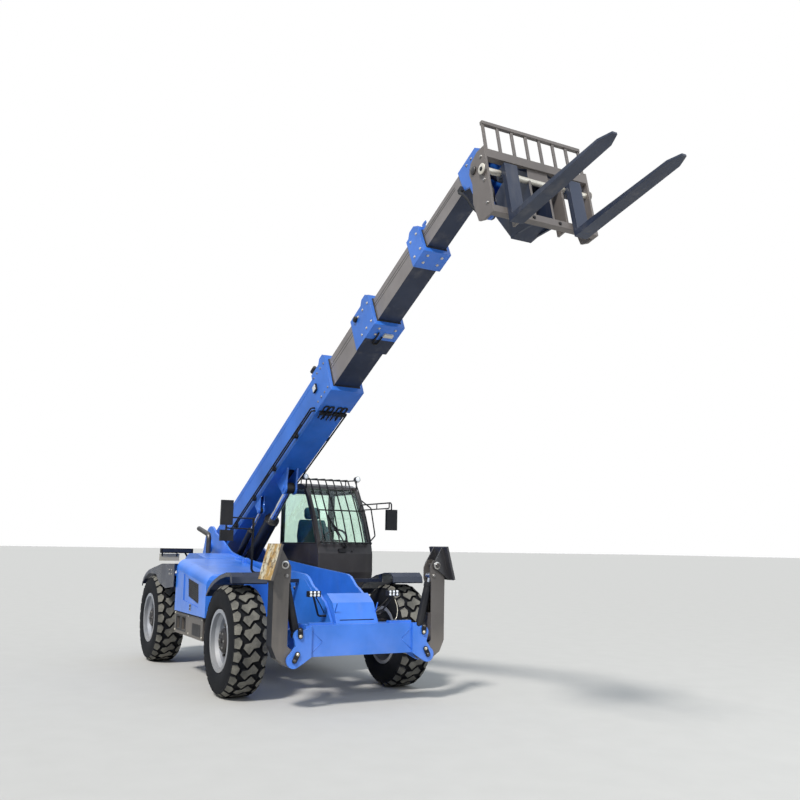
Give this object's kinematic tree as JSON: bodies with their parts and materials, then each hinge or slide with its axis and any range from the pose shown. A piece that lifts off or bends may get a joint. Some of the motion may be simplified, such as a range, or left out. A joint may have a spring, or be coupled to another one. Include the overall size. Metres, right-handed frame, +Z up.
{
  "type": "telescopic handler",
  "caption": "Four-wheel telescopic handler: raised multi-stage boom with fork carriage, side cab with guard bars, side engine hood and upright swing-down front stabilizers.",
  "frame": {"origin": "middle of the machine's overall length and width at the parked pose, on the ground", "axes": "+X forward along the machine, +Y to the driver's left, +Z up"},
  "size_m": [9.6406, 2.41, 5.1765],
  "materials": {
    "boom_blue": "gloss azure paint",
    "stage_grey": "satin grey-brown paint, dusty",
    "carriage_grey": "satin grey-brown paint",
    "fork_steel": "worn dark blue-grey paint",
    "dark_panel": "satin dark grey panels",
    "black_plastic": "moulded black plastic",
    "black_paint": "satin black paint",
    "tyre_rubber": "dusty tyre rubber",
    "rim_silver": "silver paint",
    "chrome": "polished rod",
    "clear_glass": "slightly green tinted safety glass",
    "seat_fabric": "dark teal cloth",
    "cast": "painted casting"
  },
  "bodies": {
    "chassis": {"chassis_frame": "boom_blue", "front_frame": "boom_blue", "keeper_plates": "black_paint", "counterweight": "boom_blue", "axle_housings": "cast", "engine_block": "cast", "rear_housing": "boom_blue", "side_boxes": "carriage_grey", "fenders": "black_plastic", "work_lamps": "black_paint", "exhaust_pipe": "black_paint", "rear_lamp_bar": "black_paint", "mirrors": "black_plastic", "cab_base": "dark_panel", "cab_frame": "dark_panel", "cab_glass": "clear_glass", "cab_guard": "black_paint", "operator_seat": "seat_fabric", "driver_console": "black_plastic"},
    "hood": {"engine_hood": "boom_blue", "hood_grille": "black_paint"},
    "door": {"cab_door": "dark_panel", "door_glass": "clear_glass"},
    "boom": {"boom_outer": "boom_blue", "boom_pipes": "black_paint"},
    "stage_2": {"boom_stage_2": "stage_grey"},
    "stage_3": {"boom_stage_3": "stage_grey"},
    "stage_4": {"boom_stage_4": "stage_grey", "boom_head": "boom_blue"},
    "carriage": {"fork_carriage": "carriage_grey", "load_backrest": "carriage_grey", "forks": "fork_steel"},
    "lift_cylinder": {"lift_barrel": "black_paint"},
    "lift_ram": {"lift_rod": "chrome"},
    "level_cylinder": {"level_barrel": "black_paint"},
    "level_ram": {"level_rod": "chrome"},
    "tilt_cylinder": {"tilt_barrel": "black_paint"},
    "tilt_ram": {"tilt_rod": "chrome"},
    "stabilizer_leg_left": {"stabilizer_leg_left": "carriage_grey"},
    "stabilizer_foot_left": {"stabilizer_foot_left": "carriage_grey"},
    "stabilizer_cylinder_left": {"stabilizer_barrel_left": "black_paint"},
    "stabilizer_ram_left": {"stabilizer_rod_left": "chrome"},
    "stabilizer_leg_right": {"stabilizer_leg_right": "carriage_grey"},
    "stabilizer_foot_right": {"stabilizer_foot_right": "carriage_grey"},
    "stabilizer_cylinder_right": {"stabilizer_barrel_right": "black_paint"},
    "stabilizer_ram_right": {"stabilizer_rod_right": "chrome"},
    "knuckle_front_left": {"knuckle_front_left": "cast"},
    "wheel_front_left": {"rim_front_left": "rim_silver", "tyre_front_left": "tyre_rubber"},
    "knuckle_front_right": {"knuckle_front_right": "cast"},
    "wheel_front_right": {"rim_front_right": "rim_silver", "tyre_front_right": "tyre_rubber"},
    "knuckle_rear_left": {"knuckle_rear_left": "cast"},
    "wheel_rear_left": {"rim_rear_left": "rim_silver", "tyre_rear_left": "tyre_rubber"},
    "knuckle_rear_right": {"knuckle_rear_right": "cast"},
    "wheel_rear_right": {"rim_rear_right": "rim_silver", "tyre_rear_right": "tyre_rubber"}
  },
  "joints": [
    {"name": "boom_lift", "type": "hinge", "parent": "chassis", "child": "boom", "pos_m": [-4.1553, 0, 1.6076], "axis": [0, -1, 0], "range_deg": [-29.3, 43.7]},
    {"name": "boom_extend", "type": "slide", "parent": "boom", "child": "stage_2", "axis": [0.8964, 0, 0.4432], "range_m": [-0.62, 2.45]},
    {"name": "stage_3_extend", "type": "slide", "parent": "stage_2", "child": "stage_3", "axis": [0.8964, 0, 0.4432], "range_m": [-0.62, 2.45]},
    {"name": "stage_4_extend", "type": "slide", "parent": "stage_3", "child": "stage_4", "axis": [0.8964, 0, 0.4432], "range_m": [-0.62, 2.45]},
    {"name": "fork_tilt", "type": "hinge", "parent": "stage_4", "child": "carriage", "pos_m": [3.04527, 0, 4.5008], "axis": [0, -1, 0], "range_deg": [-55, 25]},
    {"name": "lift_barrel_swing", "type": "hinge", "parent": "chassis", "child": "lift_cylinder", "pos_m": [-3.8683, 0, 0.9], "axis": [0, -1, 0], "range_deg": [-27.09, 40.35]},
    {"name": "lift_rod_slide", "type": "slide", "parent": "lift_cylinder", "child": "lift_ram", "axis": [0.8274, 0, 0.5616], "range_m": [-0.3651, 0.5441]},
    {"name": "level_barrel_swing", "type": "hinge", "parent": "chassis", "child": "level_cylinder", "pos_m": [-3.7963, -0.153, 1.021], "axis": [0, -1, 0], "range_deg": [-27.68, 41.24]},
    {"name": "level_rod_slide", "type": "slide", "parent": "level_cylinder", "child": "level_ram", "axis": [0.8097, 0, 0.5869], "range_m": [-0.3393, 0.5056]},
    {"name": "tilt_barrel_swing", "type": "hinge", "parent": "stage_4", "child": "tilt_cylinder", "pos_m": [2.75597, 0, 5.0137], "axis": [0, -1, 0], "range_deg": [-14.24, 6.53]},
    {"name": "tilt_rod_slide", "type": "slide", "parent": "tilt_cylinder", "child": "tilt_ram", "axis": [0.8461, 0, -0.533], "range_m": [-0.1112, 0.2434]},
    {"name": "stabilizer_left_swing", "type": "hinge", "parent": "chassis", "child": "stabilizer_leg_left", "pos_m": [0.4547, 0.77, 0.5], "axis": [-1, 0, 0], "range_deg": [0, 108]},
    {"name": "foot_left_swivel", "type": "hinge", "parent": "stabilizer_leg_left", "child": "stabilizer_foot_left", "pos_m": [0.4547, 0.895, 1.44], "axis": [-1, 0, 0], "range_deg": [-20, 6]},
    {"name": "stabilizer_left_barrel_swing", "type": "hinge", "parent": "chassis", "child": "stabilizer_cylinder_left", "pos_m": [0.4547, 0.715, 0.735], "axis": [-1, 0, 0], "range_deg": [-0.1, 116.85]},
    {"name": "stabilizer_left_rod_slide", "type": "slide", "parent": "stabilizer_cylinder_left", "child": "stabilizer_ram_left", "axis": [0, 0.2445, 0.9697], "range_m": [-0.001, 0.3665]},
    {"name": "stabilizer_right_swing", "type": "hinge", "parent": "chassis", "child": "stabilizer_leg_right", "pos_m": [0.4547, -0.77, 0.5], "axis": [1, 0, 0], "range_deg": [0, 108]},
    {"name": "foot_right_swivel", "type": "hinge", "parent": "stabilizer_leg_right", "child": "stabilizer_foot_right", "pos_m": [0.4547, -0.895, 1.44], "axis": [1, 0, 0], "range_deg": [-20, 6]},
    {"name": "stabilizer_right_barrel_swing", "type": "hinge", "parent": "chassis", "child": "stabilizer_cylinder_right", "pos_m": [0.4547, -0.715, 0.735], "axis": [1, 0, 0], "range_deg": [-0.1, 116.85]},
    {"name": "stabilizer_right_rod_slide", "type": "slide", "parent": "stabilizer_cylinder_right", "child": "stabilizer_ram_right", "axis": [0, -0.2445, 0.9697], "range_m": [-0.001, 0.3665]},
    {"name": "hood_lift", "type": "hinge", "parent": "chassis", "child": "hood", "pos_m": [-2.2553, -0.335, 1.446], "axis": [-1, 0, 0], "range_deg": [0, 55]},
    {"name": "door_swing", "type": "hinge", "parent": "chassis", "child": "door", "pos_m": [-2.8233, 1.154, 1.5], "axis": [0, 0, 1], "range_deg": [0, 110]},
    {"name": "steer_front_left", "type": "hinge", "parent": "chassis", "child": "knuckle_front_left", "pos_m": [-0.6003, 0.83, 0.595], "axis": [0, 0, 1], "range_deg": [-35, 35]},
    {"name": "roll_front_left", "type": "hinge", "parent": "knuckle_front_left", "child": "wheel_front_left", "pos_m": [-0.6003, 1.005, 0.595], "axis": [0, 1, 0], "continuous": true},
    {"name": "steer_front_right", "type": "hinge", "parent": "chassis", "child": "knuckle_front_right", "pos_m": [-0.6003, -0.83, 0.595], "axis": [0, 0, 1], "range_deg": [-35.5, 35.5]},
    {"name": "roll_front_right", "type": "hinge", "parent": "knuckle_front_right", "child": "wheel_front_right", "pos_m": [-0.6003, -1.005, 0.595], "axis": [0, 1, 0], "continuous": true},
    {"name": "steer_rear_left", "type": "hinge", "parent": "chassis", "child": "knuckle_rear_left", "pos_m": [-3.9103, 0.83, 0.595], "axis": [0, 0, 1], "range_deg": [-35, 35]},
    {"name": "roll_rear_left", "type": "hinge", "parent": "knuckle_rear_left", "child": "wheel_rear_left", "pos_m": [-3.9103, 1.005, 0.595], "axis": [0, 1, 0], "continuous": true},
    {"name": "steer_rear_right", "type": "hinge", "parent": "chassis", "child": "knuckle_rear_right", "pos_m": [-3.9103, -0.83, 0.595], "axis": [0, 0, 1], "range_deg": [-35.5, 35.5]},
    {"name": "roll_rear_right", "type": "hinge", "parent": "knuckle_rear_right", "child": "wheel_rear_right", "pos_m": [-3.9103, -1.005, 0.595], "axis": [0, 1, 0], "continuous": true}
  ],
  "couplings": [
    {"joint": "stage_3_extend", "follows": "boom_extend", "ratio": 1},
    {"joint": "stage_4_extend", "follows": "boom_extend", "ratio": 1},
    {"joint": "lift_barrel_swing", "follows": "boom_lift", "ratio": 0.912},
    {"joint": "lift_rod_slide", "follows": "boom_lift", "m_per_rad": 0.705},
    {"joint": "level_barrel_swing", "follows": "boom_lift", "ratio": 0.932},
    {"joint": "level_rod_slide", "follows": "boom_lift", "m_per_rad": 0.655},
    {"joint": "tilt_barrel_swing", "follows": "fork_tilt", "ratio": 0.25461},
    {"joint": "tilt_rod_slide", "follows": "fork_tilt", "m_per_rad": -0.25},
    {"joint": "stabilizer_left_barrel_swing", "follows": "stabilizer_left_swing", "ratio": 1.0703},
    {"joint": "stabilizer_left_rod_slide", "follows": "stabilizer_left_swing", "m_per_rad": 0.19199},
    {"joint": "stabilizer_right_barrel_swing", "follows": "stabilizer_right_swing", "ratio": 1.0703},
    {"joint": "stabilizer_right_rod_slide", "follows": "stabilizer_right_swing", "m_per_rad": 0.19199},
    {"joint": "steer_front_right", "follows": "steer_front_left", "ratio": 1},
    {"joint": "steer_rear_right", "follows": "steer_rear_left", "ratio": 1}
  ]
}
